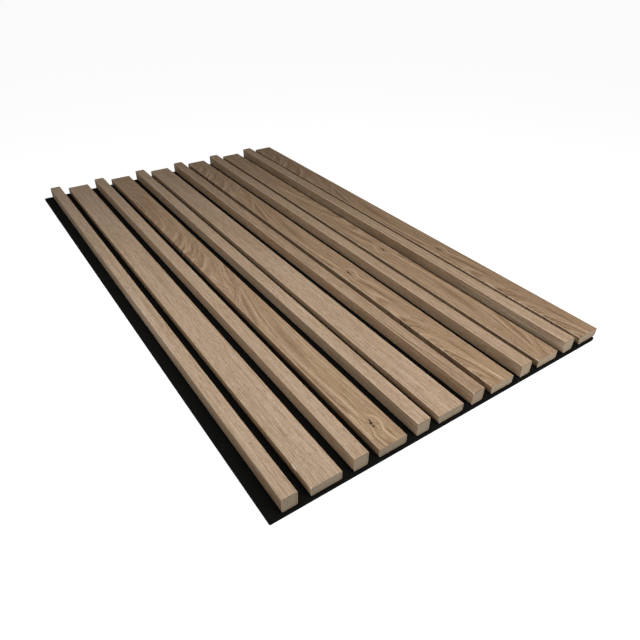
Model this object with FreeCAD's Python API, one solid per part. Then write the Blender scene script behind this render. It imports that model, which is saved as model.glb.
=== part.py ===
import FreeCAD, Part
import os
from math import sqrt

# An acoustic slat wall panel, lying on its back: tall narrow slats and low wide slats take turns
# across a sheet of felt. Slats run along Y, X goes across them, and +Z is the side that shows.
# The origin is under the middle of the panel, on the felt's back face. Everything is in millimetres.

# Slats
pair_count = 6
slat_length = 1020.0
narrow_width = 21.0
narrow_height = 22.0
wide_width = 44.0
wide_height = 14.0
slat_gap = 17.5

# Veneer wrapped over the top, the two sides and the lower chamfers of each slat's core
veneer = 0.5
core_arris = 0.3         # radius milled on a core's upper edges, which the veneer bends over
foot_chamfer = 1.8

# Felt backing
felt_thickness = 6.0
lap_margin = 17.5       # felt left bare beside the first slat
last_overhang = 5.0     # how far the last slat stands out past the felt's edge
end_ledge = 3.0         # felt that shows past the sawn ends

# Staples, driven from the back through the felt into each core
staples_per_slat = 6
staple_crown = 12.8
staple_leg = 14.0
wire_width = 1.2
wire_thickness = 0.8
leg_chisel = 1.0        # how much longer a leg is on its outer side, at its slanted tip
crown_sink = 0.5        # how deep the crown is pulled into the felt's back
first_staple = 35.0     # from a slat's sawn end to the middle of its first staple
wide_stagger = 9.0      # staples in a wide slat zigzag this far each side of its middle

# A flake of veneer lost from the upper left arris of one slat, not far from its sawn end
chipped_slat = 2
chip_start = 30.0
chip_length = 10.0
chip_bite = 0.04        # how far the flake's flat reaches below the inside of the veneer

arris_radius = core_arris + veneer
pair_pitch = narrow_width + wide_width + 2 * slat_gap
panel_width = lap_margin + pair_count * pair_pitch - slat_gap
felt_width = panel_width - last_overhang
felt_length = slat_length + 2 * end_ledge
slat_end = -slat_length / 2


def vector(x, y, z):
    return FreeCAD.Vector(x, y, z)


def slat_plan():
    """Number, middle x, width and height of each slat, starting beside the lap margin."""
    plan = []
    left = lap_margin - panel_width / 2
    for number in range(1, 2 * pair_count + 1):
        if number % 2 == 1:
            width, height = narrow_width, narrow_height
        else:
            width, height = wide_width, wide_height
        plan.append((number, left + width / 2, width, height))
        left += width + slat_gap
    return plan


def slat_bar(middle, width, height, skin):
    """A bar of the slat's section, set in from the outside by skin all round but at the foot."""
    side = width / 2 - skin
    top = felt_thickness + height - skin
    radius = arris_radius - skin
    bow = radius * (1 - sqrt(0.5))
    foot_side = width / 2 - foot_chamfer - skin * sqrt(2)
    chamfer_top = felt_thickness + foot_chamfer + skin * (sqrt(2) - 1)

    def point(x, z):
        return vector(middle + x, slat_end, z)

    edges = [
        Part.makeLine(point(-foot_side, felt_thickness), point(-side, chamfer_top)),
        Part.makeLine(point(-side, chamfer_top), point(-side, top - radius)),
        Part.Arc(point(-side, top - radius), point(-side + bow, top - bow),
                 point(-side + radius, top)).toShape(),
        Part.makeLine(point(-side + radius, top), point(side - radius, top)),
        Part.Arc(point(side - radius, top), point(side - bow, top - bow),
                 point(side, top - radius)).toShape(),
        Part.makeLine(point(side, top - radius), point(side, chamfer_top)),
        Part.makeLine(point(side, chamfer_top), point(foot_side, felt_thickness)),
        Part.makeLine(point(foot_side, felt_thickness), point(-foot_side, felt_thickness)),
    ]
    return Part.Face(Part.Wire(edges)).extrude(vector(0, slat_length, 0))


def chip_tool(middle, width, height):
    """A wedge over the slat's upper left arris, whose slanted side is the flat of the flake."""
    depth = arris_radius * (sqrt(2) - 1) + veneer + chip_bite   # from the square corner, along 45°
    reach = depth * sqrt(2)
    start = slat_end + chip_start
    outer_x = middle - width / 2 - arris_radius
    upper_z = felt_thickness + height + arris_radius
    side = reach + 2 * arris_radius
    section = Part.makePolygon([
        vector(outer_x, start, upper_z),
        vector(outer_x + side, start, upper_z),
        vector(outer_x, start, upper_z - side),
        vector(outer_x, start, upper_z),
    ])
    return Part.Face(section).extrude(vector(0, chip_length, 0))


def staple_wire(x, y, back):
    """A staple whose crown's outer face is at z = back, with two legs up, their tips slanted."""
    left = x - wire_width / 2
    half = staple_crown / 2
    inner = half - wire_thickness
    crown_top = crown_sink + wire_thickness
    tip = crown_sink + staple_leg
    outline = [
        vector(left, y - half, back),
        vector(left, y - half, tip),
        vector(left, y - inner, tip - leg_chisel),
        vector(left, y - inner, crown_top),
        vector(left, y + inner, crown_top),
        vector(left, y + inner, tip - leg_chisel),
        vector(left, y + half, tip),
        vector(left, y + half, back),
        vector(left, y - half, back),
    ]
    return Part.Face(Part.makePolygon(outline)).extrude(vector(wire_width, 0, 0))


def staple_places(middle, is_wide):
    """Where one slat's staples go: in a row on a narrow slat, in a zigzag on a wide one."""
    pitch = (slat_length - 2 * first_staple) / (staples_per_slat - 1)
    stagger = wide_stagger if is_wide else 0.0
    places = []
    for row in range(staples_per_slat):
        side = 1 if row % 2 == 0 else -1
        places.append((middle + side * stagger, slat_end + first_staple + row * pitch))
    return places


def write(shape, name):
    shape.exportStep("parts/" + name + ".step")
    print(name, "solids", len(shape.Solids), "volume", round(shape.Volume, 1), shape.isValid())


def main():
    os.makedirs("parts", exist_ok=True)
    staples = []
    felt_slots = []
    for number, middle, width, height in slat_plan():
        is_wide = number % 2 == 0
        name = "slat_%02d_%s" % (number, "wide" if is_wide else "narrow")
        places = staple_places(middle, is_wide)
        slat_staples = [staple_wire(x, y, crown_sink) for x, y in places]
        staples += slat_staples
        felt_slots += [staple_wire(x, y, 0.0) for x, y in places]

        core = slat_bar(middle, width, height, veneer)
        wrap = slat_bar(middle, width, height, 0.0).cut(core)
        if number == chipped_slat:
            wrap = wrap.cut(chip_tool(middle, width, height))
        write(core.cut(slat_staples), name + "_core")
        write(wrap, name + "_wrap")

    corner = vector(-panel_width / 2, -felt_length / 2, 0)
    felt = Part.makeBox(felt_width, felt_length, felt_thickness, corner)
    write(felt.cut(felt_slots), "felt_backing")
    write(Part.makeCompound(staples), "staples")


main()
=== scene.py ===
import math

import bmesh
import bpy
from mathutils import Matrix, Vector, noise


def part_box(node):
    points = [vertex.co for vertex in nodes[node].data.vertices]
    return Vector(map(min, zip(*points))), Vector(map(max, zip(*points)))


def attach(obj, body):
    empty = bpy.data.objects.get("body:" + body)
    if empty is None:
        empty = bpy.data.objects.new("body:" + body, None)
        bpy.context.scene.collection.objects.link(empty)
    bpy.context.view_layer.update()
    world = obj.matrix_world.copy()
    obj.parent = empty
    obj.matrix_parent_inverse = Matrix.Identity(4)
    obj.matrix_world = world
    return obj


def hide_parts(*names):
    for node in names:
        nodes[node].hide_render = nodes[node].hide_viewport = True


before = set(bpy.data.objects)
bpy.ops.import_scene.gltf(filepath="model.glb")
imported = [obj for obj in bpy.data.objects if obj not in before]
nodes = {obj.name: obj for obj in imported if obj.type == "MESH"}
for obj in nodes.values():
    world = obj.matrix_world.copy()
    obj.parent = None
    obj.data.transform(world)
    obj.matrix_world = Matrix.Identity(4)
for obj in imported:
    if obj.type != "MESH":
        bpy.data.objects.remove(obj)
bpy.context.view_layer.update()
scene = bpy.context.scene
millimetre = 0.001
print("frame loaded:", len(nodes), "nodes")


# Small helpers for node trees

def addNode(tree, kind, **settings):
    node = tree.nodes.new(kind)
    for name, value in settings.items():
        setattr(node, name, value)
    return node


def plug(tree, socket, value):
    if isinstance(value, bpy.types.NodeSocket):
        tree.links.new(value, socket)
    else:
        socket.default_value = value


def plugAll(tree, sockets, values):
    for socket, value in zip(sockets, values):
        plug(tree, socket, value)


def maths(tree, operation, *values):
    node = addNode(tree, "ShaderNodeMath", operation=operation)
    plugAll(tree, node.inputs, values)
    return node.outputs[0]


# From start at low to end at high. Pairs of limits below are its low and high, and where there are
# four, its start and end too.
def ramp(tree, value, low, high, start=0.0, end=1.0, smooth=True):
    node = addNode(tree, "ShaderNodeMapRange", interpolation_type="SMOOTHSTEP" if smooth else "LINEAR")
    plugAll(tree, node.inputs, (value, low, high, start, end))
    return node.outputs[0]


def blend(tree, share, first, second, blendType="MIX"):
    node = addNode(tree, "ShaderNodeMix", data_type="RGBA", blend_type=blendType)
    plugAll(tree, (node.inputs["Factor"], node.inputs[6], node.inputs[7]), (share, first, second))
    return node.outputs[2]


def mixNumber(tree, share, first, second):
    node = addNode(tree, "ShaderNodeMix", data_type="FLOAT")
    plugAll(tree, (node.inputs["Factor"], node.inputs[2], node.inputs[3]), (share, first, second))
    return node.outputs[0]


def joined(tree, x, y, z):
    node = addNode(tree, "ShaderNodeCombineXYZ")
    plugAll(tree, node.inputs, (x, y, z))
    return node.outputs[0]


def parted(tree, vector):
    node = addNode(tree, "ShaderNodeSeparateXYZ")
    tree.links.new(vector, node.inputs[0])
    return node.outputs


def objectPlace(tree):
    return addNode(tree, "ShaderNodeTexCoord").outputs["Object"]


def placeMm(tree):
    return [maths(tree, "DIVIDE", part, millimetre) for part in parted(tree, objectPlace(tree))]


def noiseAt(tree, vector, scale=1.0, detail=2.0, roughness=0.5):
    node = addNode(tree, "ShaderNodeTexNoise")
    plug(tree, node.inputs["Vector"], vector)
    node.inputs["Scale"].default_value = scale
    node.inputs["Detail"].default_value = detail
    node.inputs["Roughness"].default_value = roughness
    return node.outputs["Fac"]


# Noise drawn out along the slat. Waves are counted per millimetre, across the slat and along it
def streaks(tree, across, along, seed, waves):
    place = joined(tree, maths(tree, "MULTIPLY", across, waves[0]),
                   maths(tree, "MULTIPLY", along, waves[1]), seed)
    return noiseAt(tree, place, detail=1.0)


def swing(tree, across, along, seed, waves):
    return maths(tree, "SUBTRACT", streaks(tree, across, along, seed, waves), 0.5)


def hump(tree, value, centre, width):
    offset = maths(tree, "DIVIDE", maths(tree, "SUBTRACT", value, centre), width)
    return maths(tree, "POWER", math.exp(-1), maths(tree, "MULTIPLY", offset, offset))


def newGroup(name, inputs, outputs):
    group = bpy.data.node_groups.new(name, "ShaderNodeTree")
    for label, value in inputs.items():
        socket = group.interface.new_socket(label, in_out="INPUT", socket_type="NodeSocketFloat")
        socket.default_value = value
    for label in outputs:
        group.interface.new_socket(label, in_out="OUTPUT", socket_type="NodeSocketFloat")
    return group, addNode(group, "NodeGroupInput"), addNode(group, "NodeGroupOutput")


def useGroup(tree, group, **values):
    node = addNode(tree, "ShaderNodeGroup", node_tree=group)
    for name, value in values.items():
        plug(tree, node.inputs[name], value)
    return node


def newMaterial(name, roughness):
    material = bpy.data.materials.new(name)
    material.use_nodes = True
    tree = material.node_tree
    shader = tree.nodes["Principled BSDF"]
    shader.inputs["Roughness"].default_value = roughness
    return material, tree, shader


def addBump(tree, shader, height, distance):
    node = addNode(tree, "ShaderNodeBump")
    node.inputs["Distance"].default_value = distance
    plug(tree, node.inputs["Height"], height)
    tree.links.new(node.outputs[0], shader.inputs["Normal"])


# Camera and light

cameraView = {
    "place": (-0.46321, -0.83307, 0.53485),
    "lookAt": (-0.05227, -0.25011, 0.02),
    "rollDegrees": 0.9935,
    "lensMm": 31.06,
    "sensorMm": 36,
}

lampSetup = {
    "overheadSoftbox": {"place": (0, -0.4, 0.9), "aim": (0, -0.4, 0), "size": 0.6, "watts": 4.3},
    "frontSoftbox": {"place": (0.36, -1.1, 0.58), "aim": (0, -0.4, 0), "size": 0.6, "watts": 4.6},
    "leftSoftbox": {"place": (-0.6, 0, 0.6), "aim": (0, -0.1, 0), "size": 0.6, "watts": 1.7},
    "lowSoftbox": {"place": (-0.95, -0.75, 0.45), "aim": (0, -0.4, 0), "size": 0.6, "watts": 1.2},
}

worldLevel = 0.03

floorLook = {"halfSize": 6.0, "whiteLift": 0.95, "shadowShare": 0.35, "albedo": 0.8}


def aimed(place, target, roll=0.0):
    place = Vector(place)
    turn = (Vector(target) - place).to_track_quat("-Z", "Y").to_matrix().to_4x4()
    return Matrix.Translation(place) @ turn @ Matrix.Rotation(math.radians(roll), 4, "Z")


def addCamera():
    data = bpy.data.cameras.new("photoCamera")
    data.sensor_width = cameraView["sensorMm"]
    data.lens = cameraView["lensMm"]
    camera = bpy.data.objects.new("photoCamera", data)
    camera.matrix_world = aimed(cameraView["place"], cameraView["lookAt"], cameraView["rollDegrees"])
    scene.collection.objects.link(camera)
    scene.camera = camera


def addLamp(name):
    look = lampSetup[name]
    data = bpy.data.lights.new(name, "AREA")
    data.shape = "SQUARE"
    data.size = look["size"]
    data.energy = look["watts"]
    lamp = bpy.data.objects.new(name, data)
    lamp.matrix_world = aimed(look["place"], look["aim"])
    scene.collection.objects.link(lamp)


def addWorld():
    world = bpy.data.worlds.new("studio")
    scene.world = world
    world.use_nodes = True
    tree = world.node_tree
    background = tree.nodes["Background"]
    seen = addNode(tree, "ShaderNodeLightPath")
    level = maths(tree, "MAXIMUM", seen.outputs["Is Camera Ray"], seen.outputs["Is Glossy Ray"])
    level = maths(tree, "MAXIMUM", level, seen.outputs["Is Transmission Ray"])
    level = maths(tree, "MAXIMUM", level, worldLevel)
    background.inputs["Color"].default_value = (1, 1, 1, 1)
    tree.links.new(level, background.inputs["Strength"])


def addFloor():
    mesh = bpy.data.meshes.new("floor")
    shape = bmesh.new()
    bmesh.ops.create_grid(shape, x_segments=1, y_segments=1, size=floorLook["halfSize"])
    shape.to_mesh(mesh)
    shape.free()
    floor = bpy.data.objects.new("floor", mesh)
    scene.collection.objects.link(floor)
    material = bpy.data.materials.new("paleFloor")
    material.use_nodes = True
    tree = material.node_tree
    tree.nodes.clear()
    matt = addNode(tree, "ShaderNodeBsdfDiffuse")
    matt.inputs["Color"].default_value = (floorLook["albedo"],) * 3 + (1,)
    white = addNode(tree, "ShaderNodeEmission")
    white.inputs["Strength"].default_value = floorLook["whiteLift"] / (1 - floorLook["shadowShare"])
    seen = addNode(tree, "ShaderNodeLightPath")
    looked = maths(tree, "MAXIMUM", seen.outputs["Is Camera Ray"], seen.outputs["Is Glossy Ray"])
    share = maths(tree, "MULTIPLY", looked, 1 - floorLook["shadowShare"])
    both = addNode(tree, "ShaderNodeMixShader")
    tree.links.new(share, both.inputs["Fac"])
    tree.links.new(matt.outputs[0], both.inputs[1])
    tree.links.new(white.outputs[0], both.inputs[2])
    clear = addNode(tree, "ShaderNodeBsdfTransparent")
    geometry = addNode(tree, "ShaderNodeNewGeometry")
    sided = addNode(tree, "ShaderNodeMixShader")
    tree.links.new(geometry.outputs["Backfacing"], sided.inputs["Fac"])
    tree.links.new(both.outputs[0], sided.inputs[1])
    tree.links.new(clear.outputs[0], sided.inputs[2])
    output = addNode(tree, "ShaderNodeOutputMaterial")
    tree.links.new(sided.outputs[0], output.inputs["Surface"])
    mesh.materials.append(material)


# Oak-look veneer: the print is laid flat over top and sides, in millimetres from the slat's middle

def buildUnrolled():
    group, given, out = newGroup("unrolledSlat", {"Middle": 0.0, "Top": 20.0, "Shift": 0.0},
                                 ("Across", "Along", "Drop"))
    x, y, z = placeMm(group)
    fromMiddle = maths(group, "SUBTRACT", x, given.outputs["Middle"])
    drop = maths(group, "SUBTRACT", given.outputs["Top"], z)
    across = maths(group, "MULTIPLY_ADD", maths(group, "SIGN", fromMiddle), drop, fromMiddle)
    along = maths(group, "SUBTRACT", y, given.outputs["Shift"])
    plugAll(group, out.inputs, (across, along, drop))
    return group


# Lines run on, flecks are short and bands are broad. Each is made of layers: waves across and along,
# and the layer's share. Pores are dashes that come in patches, where the noise is above the limits.
grainLayers = {
    "Lines": [((1.45, 0.008), 0.7), ((0.55, 0.004), 0.3)],
    "Flecks": [((1.30, 0.045), 0.55), ((1.35, 0.30), 0.45)],
    "Band": [((0.13, 0.0030), 0.55), ((0.31, 0.0045), 0.45)],
}

porePattern = {
    "dashes": (1.15, 0.085),
    "dashLimits": (0.60, 0.68),
    "patches": (0.22, 0.008),
    "patchLimits": (0.42, 0.60),
}


def buildGrain():
    group, given, out = newGroup("fineGrain", {"Flow": 0.0, "Along": 0.0, "Seed": 0.0},
                                 (*grainLayers, "Pores"))
    flow, along, seed = [given.outputs[name] for name in ("Flow", "Along", "Seed")]
    for name, layers in grainLayers.items():
        height = -0.5
        for waves, share in layers:
            height = maths(group, "MULTIPLY_ADD", streaks(group, flow, along, seed, waves), share, height)
        group.links.new(height, out.inputs[name])
    look = porePattern
    dashes = ramp(group, streaks(group, flow, along, seed, look["dashes"]), *look["dashLimits"])
    patches = ramp(group, streaks(group, flow, along, seed, look["patches"]), *look["patchLimits"])
    group.links.new(maths(group, "MULTIPLY", dashes, patches), out.inputs["Pores"])
    return group


# Straight grain: the lines wander a little as they run, slowly by the first bend and more quickly by
# the second
straightGrain = {
    "slowWaves": (0.02, 0.0045),
    "slowBend": 4.0,
    "quickWaves": (0.05, 0.016),
    "quickBend": 0.9,
}


def buildStraightFlow():
    look = straightGrain
    group, given, out = newGroup("straightFlow", {"Across": 0.0, "Along": 0.0, "Seed": 0.0}, ("Flow",))
    across, along, seed = [given.outputs[name] for name in ("Across", "Along", "Seed")]
    slow = swing(group, across, along, seed, look["slowWaves"])
    quick = swing(group, across, along, seed, look["quickWaves"])
    flow = maths(group, "MULTIPLY_ADD", slow, look["slowBend"], across)
    group.links.new(maths(group, "MULTIPLY_ADD", quick, look["quickBend"], flow), out.inputs["Flow"])
    return group


# One printed design serves every figured slat, laid the other way round on one of them. It is in
# millimetres: along from its knot, across from the slat's middle. Waves bend its lines, bands,
# arches and specks by so many millimetres each.
printDesign = {
    "slowWaves": (0.03, 0.006),
    "slowBend": 6.0,
    "quickWaves": (0.10, 0.030),
    "quickBend": 1.6,
    "bandBend": 2.0,
    "archBend": 14.0,
    "speckBend": 1.0,
    "speckGrit": {"seed": 7.7, "waves": (0.9, 0.55), "limits": (0.36, 0.60, 0.75, 1.2)},
    "rise": [(-420, 0), (-150, 0), (-80, 2.0), (-25, 5.0), (15, 4.5), (90, 6.5), (170, 7.0), (240, 4.0),
             (320, -6.5), (420, -24), (1020, -24)],
    "nearArch": {"along": -420.0, "across": -21.0, "stretch": 8.0, "level": -39.0, "blend": (-120, -190)},
    "farArch": {"along": 792.0, "across": -24.0, "stretch": 6.0, "level": -85.0, "blend": (340, 450)},
    "farEnd": {"rise": -20.0, "blend": (830, 930)},
    "knot": {"along": -1.5, "across": -3.4, "push": 6.0, "slope": 5.0, "halfWidth": 17.0,
             "halfLength": 16.0},
}

# Lines and bands that stand out in the print: path, half width, tone and how far it is painted
printBands = [
    # the bright hook round the knot, and the dark lines that run into it
    {"tone": 1.4, "width": 1.6, "fade": (-130, -30, 10, 16),
     "path": [(-130, 12.5), (-96, 11), (-76, 10), (-55, 8.0), (-43, 6.0), (-30, 4.2), (-20, 3.0), (-14, 4.6),
              (-8, 7.4), (-3, 8.2), (3, 7.4), (8, 5.0), (16, 0.0)]},
    {"tone": -1.5, "width": 3.0, "fade": (-150, -80, -45, -22),
     "path": [(-140, 6), (-115, 3.6), (-95, 1.0), (-65, -1.0), (-45, -3.6), (-30, -6.6), (-22, -7.4)]},
    {"tone": -1.3, "width": 0.9, "fade": (-50, -32, -12, -2),
     "path": [(-50, -4.0), (-34, -8.0), (-26, -8.7), (-16, -7.2), (-6, -4.4), (-2, -3.4)]},
    {"tone": -1.5, "width": 0.7, "fade": (-43, -30, -22, -14),
     "path": [(-43, 8.6), (-30, 7.2), (-14, 8.0)]},
    {"tone": -0.9, "width": 0.9, "fade": (-70, -35, 14, 40),
     "path": [(-70, -13.5), (-39, -14.6), (-25, -15.6), (-11, -11.4), (-2, -10.4), (8, -11.2), (22, -13.8),
              (40, -17.5)]},
    {"tone": 0.7, "width": 1.2, "fade": (-50, -35, -20, -10),
     "path": [(-50, -10), (-35, -11.6), (-17, -11.8), (-10, -9.5)]},
    {"tone": 1.0, "width": 1.6, "fade": (-28, -18, 22, 32),
     "path": [(-28, -19.5), (-10, -18.5), (8, -18.5), (32, -19)]},
    # beyond the knot
    {"tone": -1.2, "width": 2.0, "fade": (18, 45, 130, 185),
     "path": [(18, -15), (30, -16.2), (53, -18.2), (100, -18.8), (185, -20.5)]},
    {"tone": 0.8, "width": 2.2, "fade": (4, 35, 340, 390),
     "path": [(4, -6), (30, -8.6), (61, -10.4), (92, -12.2), (140, -14.4), (228, -15.2), (250, -13.6),
              (275, -10.8), (291, -7.8), (307, -4.2), (326, -0.8), (342, 2.6), (358, 6.0), (390, 10.5)]},
    {"tone": -0.8, "width": 0.6, "fade": (3, 12, 60, 80),
     "path": [(3, -3.6), (17, -4.4), (30, -4.8), (54, -3.4), (80, -3.2)]},
    {"tone": 0.8, "width": 1.8, "fade": (20, 50, 150, 240),
     "path": [(20, 17.5), (61, 15.5), (92, 14), (160, 12.5), (240, 14.5)]},
    {"tone": -0.8, "width": 3.0, "fade": (120, 175, 215, 260),
     "path": [(120, -3.5), (165, -1.5), (200, -1.0), (260, 2.5)]},
    {"tone": -1.0, "width": 2.6, "fade": (252, 268, 325, 350),
     "path": [(252, -22), (268, -19.8), (287, -15.2), (313, -9.8), (326, -7.0), (350, -1.5)]},
    {"tone": -0.9, "width": 0.8, "fade": (245, 262, 325, 350),
     "path": [(245, -8), (268, -5.6), (287, -3.4), (307, 0.4), (326, 3.4), (350, 7.5)]},
    {"tone": 1.0, "width": 0.9, "fade": (318, 332, 356, 375),
     "path": [(318, -22), (336, -12.6), (346, -6.8), (358, -0.6), (375, 5)]},
    {"tone": -1.0, "width": 1.0, "fade": (332, 344, 372, 395),
     "path": [(332, -23), (342, -19.5), (356, -10.6), (370, -3.0), (395, 4)]},
    {"tone": 0.9, "width": 1.0, "fade": (350, 375, 405, 430),
     "path": [(350, -14), (385, -8.5), (405, -6.5), (430, -1)]},
    # before the knot
    {"tone": 0.9, "width": 2.4, "fade": (-385, -345, -270, -250),
     "path": [(-385, 5), (-350, 2.6), (-320, -1.4), (-300, -4.2), (-280, -9), (-262, -13.4), (-250, -20)]},
    {"tone": -1.0, "width": 1.3, "fade": (-375, -335, -285, -268),
     "path": [(-375, -4), (-350, -6.0), (-320, -6.6), (-299, -8.6), (-287, -11.4), (-277, -15),
              (-268, -21)]},
    {"tone": 1.6, "width": 0.7, "fade": (-352, -344, -328, -320),
     "path": [(-352, 1.4), (-336, 2.0), (-320, 1.6)]},
    {"tone": -0.9, "width": 1.9, "fade": (-310, -280, -255, -232),
     "path": [(-310, 4.5), (-290, 3.4), (-265, 2.8), (-232, 1.5)]},
    {"tone": -0.8, "width": 0.9, "fade": (-196, -186, -135, -110),
     "path": [(-196, 6), (-185, 4.2), (-160, 2.4), (-110, 2.5)]},
    # the whorl near the far end
    {"tone": -1.1, "width": 1.6, "fade": (738, 760, 800, 825),
     "path": [(738, -22.5), (770, -19.5), (800, -19.2), (825, -22)]},
    {"tone": -1.0, "width": 0.8, "fade": (762, 776, 808, 822),
     "path": [(762, -17.5), (785, -12.6), (800, -11.6), (822, -14.5)]},
    {"tone": -0.6, "width": 1.0, "fade": (735, 770, 830, 880),
     "path": [(735, -14), (760, -7.5), (790, -4.0), (830, -4.2), (880, -8)]},
]

# Arches that follow one another: their tips lie at tip = along - bend * (across - axis)^2, and tone
# goes with the tip. They are painted only where across is under the limit.
printArches = [
    {"bend": -0.13, "axis": -21.0, "limit": (-9.0, 0.0),
     "tones": [(-250, 0), (-236, 0.2), (-222, -0.5), (-210, 0.3), (-199, -0.4), (-190, 0.3), (-183, -0.4),
               (-175, 0.3), (-163, -0.7), (-150, 0.2), (-138, 0)]},
    {"bend": -0.30, "axis": -13.0, "limit": (-8.0, 2.0),
     "tones": [(-170, 0), (-150, 0.2), (-128, 0.3), (-112, -0.3), (-101, -0.6), (-91, 0.1), (-80, 0.6),
               (-66, 0.2), (-54, 0)]},
    {"bend": 0.045, "axis": -20.0, "limit": (2.0, 12.0),
     "tones": [(405, 0), (428, 0.3), (445, -0.2), (460, 0.1), (472, 0.3), (490, -0.4), (505, 0.2),
               (513, -0.3), (524, 0.1), (535, -0.6), (547, 0.3), (558, -0.3), (569, 0.2), (581, -0.2),
               (592, -0.7), (602, 0.2), (622, 0)]},
]

# Dark specks: across, along, half width, half length and strength. The first few make up the knot.
printSpecks = [
    (-4.0, -1.0, 1.8, 2.4, 1.7), (-4.6, -6.8, 1.7, 1.5, 1.4), (-2.7, 3.4, 1.1, 2.6, 1.2),
    (-8.0, 2.7, 0.7, 1.4, 0.7), (2.2, -6.0, 0.8, 1.4, 0.7), (0.8, -2.6, 0.6, 1.4, 0.7),
    (-3.4, -10.6, 0.7, 1.6, 0.35), (-3.3, 53.5, 0.6, 4.5, 0.45), (4.2, 66.5, 0.6, 3.0, 0.45),
    (11.9, 75.0, 0.6, 5.0, 0.45), (-4.8, 96.0, 0.6, 3.0, 0.35), (-1.8, 143.0, 0.7, 3.0, 0.40),
    (-2.8, 162.0, 0.7, 2.5, 0.40), (-11.2, 221.0, 0.8, 4.0, 0.45), (8.2, 246.0, 0.6, 6.0, 0.40),
    (4.2, 382.0, 0.8, 3.0, 0.35), (4.8, -185.0, 1.5, 4.0, 0.35), (-3.7, -170.0, 1.1, 1.8, 0.45),
    (-17.0, -329.0, 1.2, 2.0, 0.40), (9.5, 28.0, 0.5, 2.5, 0.30), (1.5, 24.0, 0.6, 1.4, 0.30),
    (0.2, 36.0, 0.6, 1.6, 0.30), (-6.0, 705.0, 0.9, 4.0, 0.35),
]


# value's height on a smooth curve through points, which are sorted
def curveAt(tree, value, points):
    xs = [x for x, _ in points]
    ys = [y for _, y in points]
    low, high = min(ys) - 1.0, max(ys) + 1.0
    node = addNode(tree, "ShaderNodeFloatCurve")
    line = node.mapping.curves[0]
    spots = [((x - xs[0]) / (xs[-1] - xs[0]), (y - low) / (high - low)) for x, y in points]
    line.points[0].location = spots[0]
    line.points[1].location = spots[-1]
    for spot in spots[1:-1]:
        line.points.new(*spot)
    node.mapping.update()
    plug(tree, node.inputs["Value"], ramp(tree, value, xs[0], xs[-1], smooth=False))
    return ramp(tree, node.outputs[0], 0.0, 1.0, low, high, smooth=False)


def fadeBetween(tree, value, stops):
    start, full, fullEnd, end = stops
    return maths(tree, "MULTIPLY", ramp(tree, value, start, full), ramp(tree, value, end, fullEnd))


def paintBands(tree, across, along, bands):
    marks = 0.0
    for band in bands:
        offset = maths(tree, "SUBTRACT", across, curveAt(tree, along, band["path"]))
        line = hump(tree, offset, 0.0, band["width"])
        line = maths(tree, "MULTIPLY", line, fadeBetween(tree, along, band["fade"]))
        marks = maths(tree, "MULTIPLY_ADD", line, band["tone"], marks)
    return marks


def archRadius(tree, across, along, arch):
    far = maths(tree, "DIVIDE", maths(tree, "SUBTRACT", along, arch["along"]), arch["stretch"])
    side = maths(tree, "SUBTRACT", across, arch["across"])
    square = maths(tree, "MULTIPLY_ADD", far, far, maths(tree, "MULTIPLY", side, side))
    return maths(tree, "SQRT", square)


# The height that each printed line keeps, before it is bent out of its place
def figureFlow(tree, across, along, slow, quick):
    design = printDesign
    warped = maths(tree, "MULTIPLY_ADD", quick, design["quickBend"], across)
    warped = maths(tree, "MULTIPLY_ADD", slow, design["slowBend"], warped)

    # lines rise and part round the knot
    knot = design["knot"]
    side = maths(tree, "SUBTRACT", across, knot["across"])
    fromKnot = maths(tree, "SUBTRACT", along, knot["along"])
    push = maths(tree, "TANH", maths(tree, "DIVIDE", side, knot["slope"]))
    push = maths(tree, "MULTIPLY", push, hump(tree, side, 0.0, knot["halfWidth"]))
    push = maths(tree, "MULTIPLY", push, hump(tree, fromKnot, 0.0, knot["halfLength"]))
    flow = maths(tree, "MULTIPLY_ADD", push, -knot["push"], warped)
    flow = maths(tree, "ADD", flow, curveAt(tree, along, design["rise"]))

    # half arches on both sides, their tips towards the knot
    for name in ("nearArch", "farArch"):
        arch = design[name]
        rings = maths(tree, "ADD", archRadius(tree, warped, along, arch), arch["level"])
        flow = mixNumber(tree, ramp(tree, along, *arch["blend"]), flow, rings)
    beyond = maths(tree, "ADD", warped, design["farEnd"]["rise"])
    return mixNumber(tree, ramp(tree, along, *design["farEnd"]["blend"]), flow, beyond)


def figureMarks(tree, across, along, slow, quick):
    painted = maths(tree, "MULTIPLY_ADD", quick, printDesign["bandBend"], across)
    marks = paintBands(tree, painted, along, printBands)
    for arches in printArches:
        side = maths(tree, "SUBTRACT", painted, arches["axis"])
        tip = maths(tree, "MULTIPLY_ADD", maths(tree, "MULTIPLY", side, side), -arches["bend"], along)
        tip = maths(tree, "MULTIPLY_ADD", slow, printDesign["archBend"], tip)
        full, none = arches["limit"]
        near = ramp(tree, across, none, full)
        marks = maths(tree, "MULTIPLY_ADD", curveAt(tree, tip, arches["tones"]), near, marks)
    return marks


def figureSpecks(tree, across, along, quick):
    spot = joined(tree, maths(tree, "MULTIPLY_ADD", quick, printDesign["speckBend"], across), along, 0.0)
    dark = 0.0
    for sideways, lengthwise, halfWidth, halfLength, strength in printSpecks:
        near = addNode(tree, "ShaderNodeVectorMath", operation="MULTIPLY_ADD")
        plugAll(tree, near.inputs, (spot, (1 / halfWidth, 1 / halfLength, 0),
                                    (-sideways / halfWidth, -lengthwise / halfLength, 0)))
        square = addNode(tree, "ShaderNodeVectorMath", operation="DOT_PRODUCT")
        plugAll(tree, square.inputs, (near.outputs[0], near.outputs[0]))
        speck = maths(tree, "POWER", math.exp(-1), square.outputs["Value"])
        dark = maths(tree, "MULTIPLY_ADD", speck, strength, dark)
    look = printDesign["speckGrit"]
    grit = ramp(tree, streaks(tree, across, along, look["seed"], look["waves"]), *look["limits"])
    return maths(tree, "MINIMUM", maths(tree, "MULTIPLY", dark, grit), 1.0)


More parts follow.
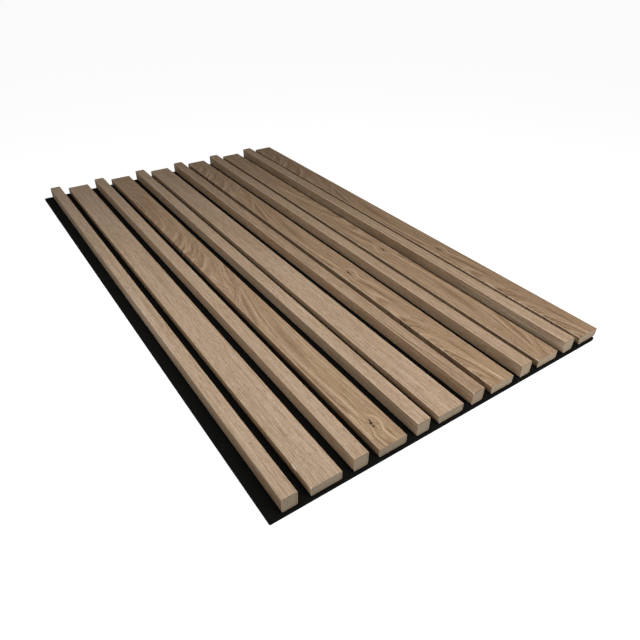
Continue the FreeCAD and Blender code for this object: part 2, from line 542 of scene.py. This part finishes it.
def buildFigure():
    group, given, out = newGroup("printedFigure", {"Across": 0.0, "Along": 0.0, "Seed": 0.0},
                                 ("Flow", "Marks", "Knot"))
    across, along, seed = [given.outputs[name] for name in ("Across", "Along", "Seed")]
    slow = swing(group, across, along, seed, printDesign["slowWaves"])
    quick = swing(group, across, along, seed, printDesign["quickWaves"])
    plugAll(group, out.inputs, (figureFlow(group, across, along, slow, quick),
                                figureMarks(group, across, along, slow, quick),
                                figureSpecks(group, across, along, quick)))
    return group


# Gains say how far each part of the grain moves the tone, from deep at -1 to pale at 1
veneerLook = {
    "light": {"pale": (0.710, 0.555, 0.425, 1), "body": (0.490, 0.350, 0.232, 1),
              "deep": (0.270, 0.170, 0.098, 1), "lineGain": 2.3, "fleckGain": 3.3, "bandGain": 0.7},
    "figured": {"pale": (0.630, 0.460, 0.305, 1), "body": (0.412, 0.278, 0.170, 1),
                "deep": (0.200, 0.115, 0.060, 1), "lineGain": 2.5, "fleckGain": 2.6, "bandGain": 1.6,
                "markGain": 0.62},
    "pore": (0.130, 0.080, 0.045, 1),
    "poreShare": 0.55,
    "heart": (0.046, 0.024, 0.011, 1),
    "sawnEdge": (0.50, 0.41, 0.31, 1),
    "sawnFacing": (0.8, 0.9),
    # the arris colour is a painted highlight along the rounded top edges
    "arris": (0.800, 0.640, 0.490, 1),
    "arrisHighlightStart": (0.15, 0.45),         # the normal's rise, from the side up
    "arrisHighlightEnd": (0.995, 0.9),           # and from the top down
    "arrisHighlightShare": (0.25, 0.09),         # and what each slat's number adds
    # a dark line of painted shade under the top of the sawn ends, a colour the cores' tear-out takes too
    "paintedShadeAndTear": (0.150, 0.100, 0.062, 1),
    "edgeShadeMm": (0.7, 0.4),             # under the top
    "edgeShadeShare": {"narrow": 0.85, "wide": 0.25},
    "scuff": (0.88, 0.85, 0.82, 1),
    "grainRoughness": (-0.3, 0.3, 0.72, 0.62),
    "poreRoughness": 0.15,
    "specular": 0.12,
    "grainRelief": 0.5,
    "poreRelief": 0.8,
    "knotRelief": 0.8,
    "reliefMetres": 0.00008,
}

# Lines and broad patches of their own on straight-grained slats, across the slat and along the panel
ownLines = {
    1: [
        {"tone": 0.75, "width": 13.0, "fade": (-270, -150, -60, 50),
         "path": [(-270, -23), (-100, -21), (50, -23)]},
        {"tone": -0.4, "width": 13.0, "fade": (-560, -540, -460, -330),
         "path": [(-560, -22), (-450, -22), (-330, -22)]},
    ],
    7: [
        {"tone": -2.6, "width": 0.7, "fade": (-512, -508, -430, -318),
         "path": [(-512, 0.6), (-475, 0.5), (-447, -1.0), (-415, -2.3), (-390, -4.5), (-370, -6.0),
                  (-318, -7.0)]},
        {"tone": -2.2, "width": 0.8, "fade": (-400, -365, -330, -316),
         "path": [(-400, -4.2), (-370, -6.2), (-347, -7.0), (-316, -7.2)]},
        {"tone": 0.8, "width": 0.6, "fade": (-430, -390, -340, -318),
         "path": [(-430, 0.6), (-390, -2.4), (-360, -4.6), (-318, -5.4)]},
    ],
    11: [
        {"tone": 1.0, "width": 10.0, "fade": (-560, -540, -420, -260),
         "path": [(-560, -22), (-450, -21), (-260, -22)]},
        {"tone": -0.45, "width": 10.0, "fade": (-230, -150, -60, 20),
         "path": [(-230, -22), (-100, -21), (20, -22)]},
        {"tone": -1.5, "width": 0.5, "fade": (-512, -505, -380, -250),
         "path": [(-512, -15.0), (-470, -14.2), (-430, -15.6), (-380, -14.0), (-320, -15.2), (-250, -14.4)]},
        {"tone": -1.9, "width": 0.5, "fade": (-512, -505, -400, -280),
         "path": [(-512, -18.4), (-480, -17.2), (-440, -18.8), (-390, -17.4), (-340, -18.6), (-280, -17.6)]},
        {"tone": -1.3, "width": 0.5, "fade": (-512, -505, -360, -200),
         "path": [(-512, -22.0), (-460, -20.6), (-420, -22.2), (-370, -20.8), (-300, -22.2), (-200, -21.0)]},
        {"tone": -1.8, "width": 0.6, "fade": (-512, -505, -420, -300),
         "path": [(-512, -26.0), (-470, -24.4), (-430, -26.2), (-380, -24.8), (-300, -26.0)]},
        {"tone": -1.3, "width": 0.6, "fade": (-512, -505, -380, -240),
         "path": [(-512, -29.6), (-450, -28.2), (-400, -29.8), (-330, -28.6), (-240, -29.4)]},
    ],
}

# Along is the knot's place on a figured slat, in the panel's frame, and across its shift. Depth is how
# dark the slat's print is. Side is painted light and shade on its sides, sideTint the green and blue of
# that painted shade, and end how light its sawn core is beside the others. Chips: place along, half
# length and strength.
slatPrints = {
    1: {"seed": 1.3, "depth": -0.06, "side": 0.64, "sideTint": (0.94, 0.86), "end": 0.86},
    2: {"seed": 4.7, "depth": -0.05, "side": 1.10, "sideTint": (0.92, 0.74), "end": 0.87,
        "chips": [(-474.0, 6.6, 1.0), (-509.6, 2.2, 0.7)]},
    3: {"seed": 9.1, "side": 1.06, "end": 0.90},
    4: {"seed": 2.2, "along": -468.6, "across": 0.9, "side": 0.88, "end": 0.80},
    5: {"seed": 13.4, "depth": 0.04, "side": 0.96, "end": 0.91},
    6: {"seed": 17.8, "depth": 0.08, "side": 1.22, "end": 0.88},
    7: {"seed": 21.5, "depth": 0.48, "side": 1.24, "end": 0.93, "chips": [(-509.6, 2.2, 0.5)]},
    8: {"seed": 2.2, "along": -156.6, "across": -0.1, "depth": 0.14, "side": 0.94, "end": 1.07},
    9: {"seed": 26.9, "depth": 0.25, "side": 1.20, "end": 1.10},
    10: {"seed": 2.2, "along": -126.1, "across": 0.6, "turned": True, "depth": 0.16, "side": 0.80,
         "end": 1.09},
    11: {"seed": 31.6, "depth": 0.25, "side": 1.20, "end": 1.05},
    12: {"seed": 2.2, "along": -181.5, "across": 0.0, "depth": 0.32, "side": 0.88, "end": 1.0},
}


def kindOf(number):
    return "wide" if number % 2 == 0 else "narrow"


def slatNames(number):
    stem = "slat_%02d_%s" % (number, kindOf(number))
    return stem + "_core", stem + "_wrap"


def slatBox(number):
    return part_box(slatNames(number)[1])


def trueNormal(tree):
    return parted(tree, addNode(tree, "ShaderNodeNewGeometry").outputs["True Normal"])


def veneerTone(tree, number, tones, figure, grain, across, along):
    tone = -slatPrints[number].get("depth", 0.0)
    for part, gain in (("Lines", "lineGain"), ("Flecks", "fleckGain"), ("Band", "bandGain")):
        tone = maths(tree, "MULTIPLY_ADD", grain.outputs[part], tones[gain], tone)
    if "markGain" in tones:
        tone = maths(tree, "MULTIPLY_ADD", figure.outputs["Marks"], tones["markGain"], tone)
    elif number in ownLines:
        tone = maths(tree, "ADD", tone, paintBands(tree, across, along, ownLines[number]))
    return tone


def veneerMaterial(number, groups):
    look = veneerLook
    spec = slatPrints[number]
    figured = "along" in spec
    tones = look["figured" if figured else "light"]
    low, high = slatBox(number)
    middle = (low.x + high.x) / 2 / millimetre + spec.get("across", 0.0)
    material, tree, shader = newMaterial("oakVeneer%02d" % number, 0.55)
    skin = useGroup(tree, groups["unrolled"], Middle=middle, Top=high.z / millimetre,
                    Shift=spec.get("along", 0.0))
    across, along, drop = [skin.outputs[name] for name in ("Across", "Along", "Drop")]
    if spec.get("turned"):
        across = maths(tree, "MULTIPLY", across, -1.0)
        along = maths(tree, "MULTIPLY", along, -1.0)
    figure = useGroup(tree, groups["figure" if figured else "straight"], Across=across, Along=along,
                      Seed=spec["seed"])
    grain = useGroup(tree, groups["grain"], Flow=figure.outputs["Flow"], Along=along, Seed=spec["seed"])
    lines, flecks, pores = [grain.outputs[name] for name in ("Lines", "Flecks", "Pores")]
    tone = veneerTone(tree, number, tones, figure, grain, across, along)
    colour = blend(tree, ramp(tree, tone, -1.0, 0.0, smooth=False), tones["deep"], tones["body"])
    colour = blend(tree, ramp(tree, tone, 0.0, 1.0, smooth=False), colour, tones["pale"])
    colour = blend(tree, maths(tree, "MULTIPLY", pores, look["poreShare"]), colour, look["pore"])
    fine = maths(tree, "ADD", lines, flecks)
    height = maths(tree, "MULTIPLY", pores, -look["poreRelief"])
    height = maths(tree, "MULTIPLY_ADD", fine, look["grainRelief"], height)
    if figured:
        knot = figure.outputs["Knot"]
        colour = blend(tree, knot, colour, look["heart"])
        height = maths(tree, "MULTIPLY_ADD", knot, -look["knotRelief"], height)

    normal = trueNormal(tree)
    colour = sideShade(tree, colour, number, drop, normal)
    # painted highlight along the rounded top edges, stronger on slats further from the lap
    arris = maths(tree, "MULTIPLY", ramp(tree, normal["Z"], *look["arrisHighlightStart"]),
                  ramp(tree, normal["Z"], *look["arrisHighlightEnd"]))
    least, more = look["arrisHighlightShare"]
    colour = blend(tree, maths(tree, "MULTIPLY", arris, min(1.0, least + more * number)), colour,
                   look["arris"])
    # painted shade under the top edge of the sawn end
    paintedEdgeShade = maths(tree, "MULTIPLY", ramp(tree, drop, *look["edgeShadeMm"]),
                     look["edgeShadeShare"][kindOf(number)])
    sawnEdge = blend(tree, paintedEdgeShade, look["sawnEdge"], look["paintedShadeAndTear"])
    sawn = ramp(tree, maths(tree, "ABSOLUTE", normal["Y"]), *look["sawnFacing"])
    colour = blend(tree, sawn, colour, sawnEdge)
    colour = withChips(tree, colour, number)
    tree.links.new(colour, shader.inputs["Base Color"])
    rough = ramp(tree, fine, *look["grainRoughness"])
    rough = maths(tree, "MULTIPLY_ADD", pores, look["poreRoughness"], rough)
    tree.links.new(rough, shader.inputs["Roughness"])
    shader.inputs["Specular IOR Level"].default_value = look["specular"]
    addBump(tree, shader, height, look["reliefMetres"])
    return material


# The sides carry painted light and shade: a painted highlight lightens the veneer below the arris,
# more so on the slats further from the lap, and painted shade darkens it towards the foot. Feet are
# given as start and end above the felt and the share left there.
sideLook = {
    "facing": (0.50, 0.66),
    "paintedRimLightMm": (3.2, 0.6),     # under the top
    "paintedRimLight": {"narrow": (0.0, 0.03), "wide": (-0.22, 0.11)},       # and what each number adds
    "foot": {"narrow": (3.0, 1.5, 0.5), "wide": (7.3, 0.5, 0.15)},
    "tint": (0.98, 0.93),
}


def sideShade(tree, colour, number, drop, normal):
    look = sideLook
    kind = kindOf(number)
    # each slat's side share is painted light and shade on its upright faces
    share = slatPrints[number]["side"]
    start, more = look["paintedRimLight"][kind]
    # painted highlight below the arris
    shade = ramp(tree, drop, *look["paintedRimLightMm"], share, share * (1 + start + more * number))
    foot = (slatBox(number)[1].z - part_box("felt_backing")[1].z) / millimetre
    above, darkest, left = look["foot"][kind]
    # painted shade towards the foot
    paintedFootShade = ramp(tree, drop, foot - above, foot - darkest, 1.0, left)
    shade = maths(tree, "MULTIPLY", shade, paintedFootShade)
    green, blue = slatPrints[number].get("sideTint", look["tint"])
    tint = joined(tree, shade, maths(tree, "MULTIPLY", shade, green), maths(tree, "MULTIPLY", shade, blue))
    shaded = blend(tree, 1.0, colour, tint, "MULTIPLY")
    facing = ramp(tree, maths(tree, "ABSOLUTE", normal["X"]), *look["facing"])
    return blend(tree, facing, colour, shaded)


# Whitened wood where the veneer is chipped along its upper left arris
chipLook = {
    "raggedScale": 900.0,
    "raggedMm": 0.7,
    "reachMm": (1.85, 1.60),    # from the square corner, both ways added up
    "fullShare": 0.4,
}


def withChips(tree, colour, number):
    look = chipLook
    chips = slatPrints[number].get("chips", ())
    if not chips:
        return colour
    low, high = slatBox(number)
    x, y, z = placeMm(tree)
    fromSide = maths(tree, "SUBTRACT", x, low.x / millimetre)
    fromTop = maths(tree, "SUBTRACT", high.z / millimetre, z)
    ragged = noiseAt(tree, objectPlace(tree), look["raggedScale"])
    fromCorner = maths(tree, "ADD", fromSide, fromTop)
    fromCorner = maths(tree, "MULTIPLY_ADD", ragged, look["raggedMm"], fromCorner)
    bright = ramp(tree, fromCorner, *look["reachMm"])
    for middle, halfLength, strength in chips:
        fromMiddle = maths(tree, "ABSOLUTE", maths(tree, "SUBTRACT", y, middle))
        inLength = ramp(tree, fromMiddle, halfLength, halfLength * look["fullShare"], 0.0, strength)
        colour = blend(tree, maths(tree, "MULTIPLY", bright, inLength), colour, veneerLook["scuff"])
    return colour


# Fibreboard cores, bare at the sawn ends. A dark line of painted shade runs under the top, and the saw's
# tear-out down the side where it left the core, with a lighter strip outside it.
coreLook = {
    "roughness": 0.85,
    "pale": (0.405, 0.318, 0.228, 1),
    "deep": (0.335, 0.258, 0.180, 1),
    "fibre": (0.255, 0.188, 0.124, 1),
    "cloud": (420.0, 3.0, 0.6),         # scale, detail and roughness
    "grit": (2600.0, 2.0, 0.6),
    "sawMarks": (150.0, 1500.0, 1500.0),
    "cloudLimits": (0.35, 0.65),
    "gritLimits": (0.58, 0.75, 0.0, 0.5),
    "sawLimits": (0.55, 0.7, 0.0, 0.25),
    "edgeShadeMm": (1.5, 0.9),             # under the top
    "edgeShadeShare": {"narrow": 0.85, "wide": 0.3},
    "waveMm": 0.8,
    "tearMm": (2.3, 0.55),              # from the right, and half width
    "tearShare": 0.8,
    "stripMm": (2.1, 1.7),
    "stripShare": 0.25,
    "endBlue": 0.97,
    "gritRelief": 0.7,
    "reliefMetres": 0.00015,
}


def coreMaterial(number):
    look = coreLook
    low, high = slatBox(number)
    material, tree, shader = newMaterial("fibreboard%02d" % number, look["roughness"])
    place = objectPlace(tree)
    cloud = noiseAt(tree, place, *look["cloud"])
    grit = noiseAt(tree, place, *look["grit"])
    drawnOut = [maths(tree, "MULTIPLY", part, scale)
                for part, scale in zip(parted(tree, place), look["sawMarks"])]
    saw = noiseAt(tree, joined(tree, *drawnOut))
    colour = blend(tree, ramp(tree, cloud, *look["cloudLimits"]), look["deep"], look["pale"])
    colour = blend(tree, ramp(tree, grit, *look["gritLimits"]), colour, look["fibre"])
    colour = blend(tree, ramp(tree, saw, *look["sawLimits"]), colour, look["deep"])

    x, y, z = placeMm(tree)
    fromTop = maths(tree, "SUBTRACT", high.z / millimetre, z)
    fromRight = maths(tree, "SUBTRACT", high.x / millimetre, x)
    wavy = maths(tree, "MULTIPLY_ADD", cloud, look["waveMm"], fromRight)
    # painted shade under the top, and the saw's tear-out
    paintedShadeAndTear = maths(tree, "MULTIPLY", ramp(tree, fromTop, *look["edgeShadeMm"]),
                   look["edgeShadeShare"][kindOf(number)])
    tear = maths(tree, "MULTIPLY", hump(tree, wavy, *look["tearMm"]), look["tearShare"])
    colour = blend(tree, maths(tree, "MAXIMUM", paintedShadeAndTear, tear), colour, veneerLook["paintedShadeAndTear"])
    strip = maths(tree, "MULTIPLY", ramp(tree, wavy, *look["stripMm"]), look["stripShare"])
    colour = blend(tree, strip, colour, veneerLook["sawnEdge"])
    share = slatPrints[number]["end"]
    colour = blend(tree, 1.0, colour, (share, share, share * look["endBlue"], 1), "MULTIPLY")
    colour = withChips(tree, colour, number)
    tree.links.new(colour, shader.inputs["Base Color"])
    height = maths(tree, "MULTIPLY_ADD", grit, look["gritRelief"], saw)
    addBump(tree, shader, height, look["reliefMetres"])
    return material


# Black felt

feltLook = {
    "roughness": 0.95,
    "base": (0.0063, 0.0063, 0.0057, 1),
    "fibre": (0.020, 0.020, 0.019, 1),
    "lint": (0.055, 0.053, 0.050, 1),
    "swirlScale": 160.0,
    "swirlMetres": (0.006, 0.006, 0.006),
    "tangle": (1700.0, 4.0, 0.65),      # scale, detail and roughness
    "clumps": (55.0, 3.0, 0.6),
    "fibreLimits": (0.50, 0.72),
    "clumpLimits": (0.55, 0.85, 0.0, 0.35),
    "lintLimits": (0.74, 0.80, 0.0, 0.6),
    "specular": 0.02,
    "clumpRelief": 0.6,
    "reliefMetres": 0.0004,
}


def feltMaterial():
    look = feltLook
    material, tree, shader = newMaterial("blackFelt", look["roughness"])
    place = objectPlace(tree)
    swirl = addNode(tree, "ShaderNodeTexNoise")
    tree.links.new(place, swirl.inputs["Vector"])
    swirl.inputs["Scale"].default_value = look["swirlScale"]
    warped = addNode(tree, "ShaderNodeVectorMath", operation="MULTIPLY_ADD")
    plugAll(tree, warped.inputs, (swirl.outputs["Color"], look["swirlMetres"], place))
    tangle = noiseAt(tree, warped.outputs[0], *look["tangle"])
    clumps = noiseAt(tree, place, *look["clumps"])
    colour = blend(tree, ramp(tree, tangle, *look["fibreLimits"]), look["base"], look["fibre"])
    colour = blend(tree, ramp(tree, clumps, *look["clumpLimits"]), colour, look["fibre"])
    colour = blend(tree, ramp(tree, tangle, *look["lintLimits"]), colour, look["lint"])
    tree.links.new(colour, shader.inputs["Base Color"])
    shader.inputs["Specular IOR Level"].default_value = look["specular"]
    height = maths(tree, "MULTIPLY_ADD", clumps, look["clumpRelief"], tangle)
    addBump(tree, shader, height, look["reliefMetres"])
    return material


# A staple's crown is drawn into the felt's back, and the felt dimples round it
feltBoard = {
    "gridMm": 5.0,
    "sideCuts": 3,
    "cornerMm": 2.0,
    "cornerSegments": 3,
    "rimMm": 0.8,
    "rimSegments": 2,
    "topWavesMm": 0.16,
    "gritShare": 0.4,
    "backWavesMm": 0.10,
    "sideWavesMm": 0.30,
    "roughWaves": (0.07, 0.05, 0.3),
    "gritWaves": (0.45, 0.45, 0.5),
    "gritShift": 9,
    "dimpleMm": 0.95,
    "dimpleReachMm": 2.4,
    "dimpleEndMm": 6,
    "dimpleCuts": 3,
    "firstRowMm": -475.0,
    "rowPitchMm": 190.0,
    "rows": 6,
    "staggerMm": 9.0,
    "crownHalfMm": 6.4,
    "wireHalfMm": 0.6,
    "farMm": 99.0,
    "cutSize": (0.595, 1.026),
}
touching = 1e-6         # metres


def crownPlaces():
    rows = []
    for row in range(feltBoard["rows"]):
        y = feltBoard["firstRowMm"] + row * feltBoard["rowPitchMm"]
        places = []
        for number in slatPrints:
            low, high = slatBox(number)
            shift = 0.0
            if kindOf(number) == "wide":
                shift = feltBoard["staggerMm"] * (1 if row % 2 == 0 else -1)
            places.append((low.x + high.x) / 2 / millimetre + shift)
        rows.append((y, places))
    return rows


# Millimetres from the nearest crown's wire, across the felt's back
def crownDistance(x, y, rows):
    row = round((y - feltBoard["firstRowMm"]) / feltBoard["rowPitchMm"])
    if not 0 <= row < feltBoard["rows"]:
        return feltBoard["farMm"]
    crownY, places = rows[row]
    past = max(0.0, abs(y - crownY) - feltBoard["crownHalfMm"])
    if past > 2 * feltBoard["dimpleEndMm"]:
        return feltBoard["farMm"]
    aside = min(abs(x - place) for place in places)
    return math.hypot(past, max(0.0, aside - feltBoard["wireHalfMm"]))


def feltBlock(low, high):
    look = feltBoard
    size = high - low
    middle = (low + high) / 2
    columns = round(size.x / millimetre / look["gridMm"])
    lines = round(size.y / millimetre / look["gridMm"])
    shape = bmesh.new()
    bmesh.ops.create_grid(shape, x_segments=columns, y_segments=lines, size=0.5)
    bmesh.ops.scale(shape, vec=(size.x, size.y, 1), verts=shape.verts)
    bmesh.ops.translate(shape, vec=(middle.x, middle.y, low.z), verts=shape.verts)
    lifted = bmesh.ops.extrude_face_region(shape, geom=list(shape.faces), use_keep_orig=True)["geom"]
    top = [part for part in lifted if isinstance(part, bmesh.types.BMVert)]
    bmesh.ops.translate(shape, vec=(0, 0, size.z), verts=top)
    upright = [edge for edge in shape.edges if abs(edge.verts[0].co.z - edge.verts[1].co.z) > size.z / 2]
    bmesh.ops.subdivide_edges(shape, edges=upright, cuts=look["sideCuts"], use_grid_fill=True)
    return shape


def atCorner(vertex, low, high):
    place = vertex.co
    atSide = min(place.x - low.x, high.x - place.x) < touching
    return atSide and min(place.y - low.y, high.y - place.y) < touching


def softenEdges(shape, low, high):
    look = feltBoard
    corners = [edge for edge in shape.edges if all(atCorner(vertex, low, high) for vertex in edge.verts)]
    bmesh.ops.bevel(shape, geom=corners, offset=look["cornerMm"] * millimetre, affect="EDGES",
                    segments=look["cornerSegments"], profile=0.5, material=-1)
    bmesh.ops.recalc_face_normals(shape, faces=shape.faces)
    shape.normal_update()
    rim = [edge for edge in shape.edges if len(edge.link_faces) == 2 and
           {abs(face.normal.z) > 0.9 for face in edge.link_faces} == {True, False}]
    bmesh.ops.bevel(shape, geom=rim, offset=look["rimMm"] * millimetre, affect="EDGES",
                    segments=look["rimSegments"], profile=0.5, material=-1)


def refineBack(shape, low, rows):
    near = set()
    for face in shape.faces:
        centre = face.calc_center_median()
        if centre.z < low.z + touching:
            apart = crownDistance(centre.x / millimetre, centre.y / millimetre, rows)
            if apart < feltBoard["dimpleEndMm"]:
                near.update(face.edges)
    bmesh.ops.subdivide_edges(shape, edges=list(near), cuts=feltBoard["dimpleCuts"], use_grid_fill=True)


def waveAt(place, waves, shift=0.0):
    x, y, z = [part * wave for part, wave in zip(place, waves)]
    return noise.noise(Vector((x, y, z + shift))) * 0.5 + 0.5


def roughenFelt(shape, low, high, rows):
    look = feltBoard
    for vertex in shape.verts:
        place = vertex.co / millimetre
        rough = waveAt(place, look["roughWaves"])
        grit = waveAt(place, look["gritWaves"], look["gritShift"])
        inX = min(vertex.co.x - low.x, high.x - vertex.co.x)
        inY = min(vertex.co.y - low.y, high.y - vertex.co.y)
        if vertex.co.z > high.z - touching:
            wave = (1 - look["gritShare"]) * rough + look["gritShare"] * grit
            vertex.co.z -= look["topWavesMm"] * millimetre * wave
        elif vertex.co.z < low.z + touching:
            apart = crownDistance(place.x, place.y, rows)
            dimple = look["dimpleMm"] * math.exp(-(apart / look["dimpleReachMm"]) ** 2)
            wave = look["backWavesMm"] * rough * min(1.0, apart / look["dimpleEndMm"])
            vertex.co.z += (dimple + wave) * millimetre
        inset = look["sideWavesMm"] * millimetre * rough * grit
        if inX < touching:
            vertex.co.x -= math.copysign(inset, vertex.co.x)
        if inY < touching:
            vertex.co.y -= math.copysign(inset, vertex.co.y)


def buildFelt():
    low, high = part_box("felt_backing")
    rows = crownPlaces()
    shape = feltBlock(low, high)
    softenEdges(shape, low, high)
    refineBack(shape, low, rows)
    roughenFelt(shape, low, high, rows)
    bmesh.ops.recalc_face_normals(shape, faces=shape.faces)
    mesh = bpy.data.meshes.new("feltSheet")
    shape.to_mesh(mesh)
    shape.free()
    for polygon in mesh.polygons:
        polygon.use_smooth = True
    mesh.materials.append(feltMaterial())
    felt = bpy.data.objects.new("feltSheet", mesh)
    scene.collection.objects.link(felt)
    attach(felt, "root")
    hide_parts("felt_backing")
    print("felt sheet:", len(mesh.polygons), "faces")


# Galvanised staple wire

stapleLook = {
    "dull": (0.50, 0.50, 0.49, 1),
    "bright": (0.68, 0.67, 0.64, 1),
    "spangle": (900.0, 3.0, 0.6),       # scale, detail and roughness
    "limits": (0.3, 0.7),
    "roughness": (0.30, 0.46),
    "reliefMetres": 0.00003,
}


def stapleMaterial():
    look = stapleLook
    material, tree, shader = newMaterial("stapleWire", 0.38)
    spangle = noiseAt(tree, objectPlace(tree), *look["spangle"])
    colour = blend(tree, ramp(tree, spangle, *look["limits"]), look["dull"], look["bright"])
    tree.links.new(colour, shader.inputs["Base Color"])
    tree.links.new(ramp(tree, spangle, *look["limits"], *look["roughness"]), shader.inputs["Roughness"])
    shader.inputs["Metallic"].default_value = 1.0
    addBump(tree, shader, spangle, look["reliefMetres"])
    return material


def dress(name, material):
    mesh = nodes[name].data
    mesh.materials.clear()
    mesh.materials.append(material)


def dressNodes():
    groups = {"unrolled": buildUnrolled(), "grain": buildGrain(), "straight": buildStraightFlow(),
              "figure": buildFigure()}
    for number in slatPrints:
        coreName, wrapName = slatNames(number)
        dress(coreName, coreMaterial(number))
        dress(wrapName, veneerMaterial(number, groups))
    dress("staples", stapleMaterial())
    print("materials on", len(nodes), "nodes")


addCamera()
for lampName in lampSetup:
    addLamp(lampName)
addWorld()
addFloor()
print("camera, lamps and floor ready")

dressNodes()
buildFelt()

scene.view_settings.view_transform = "Standard"
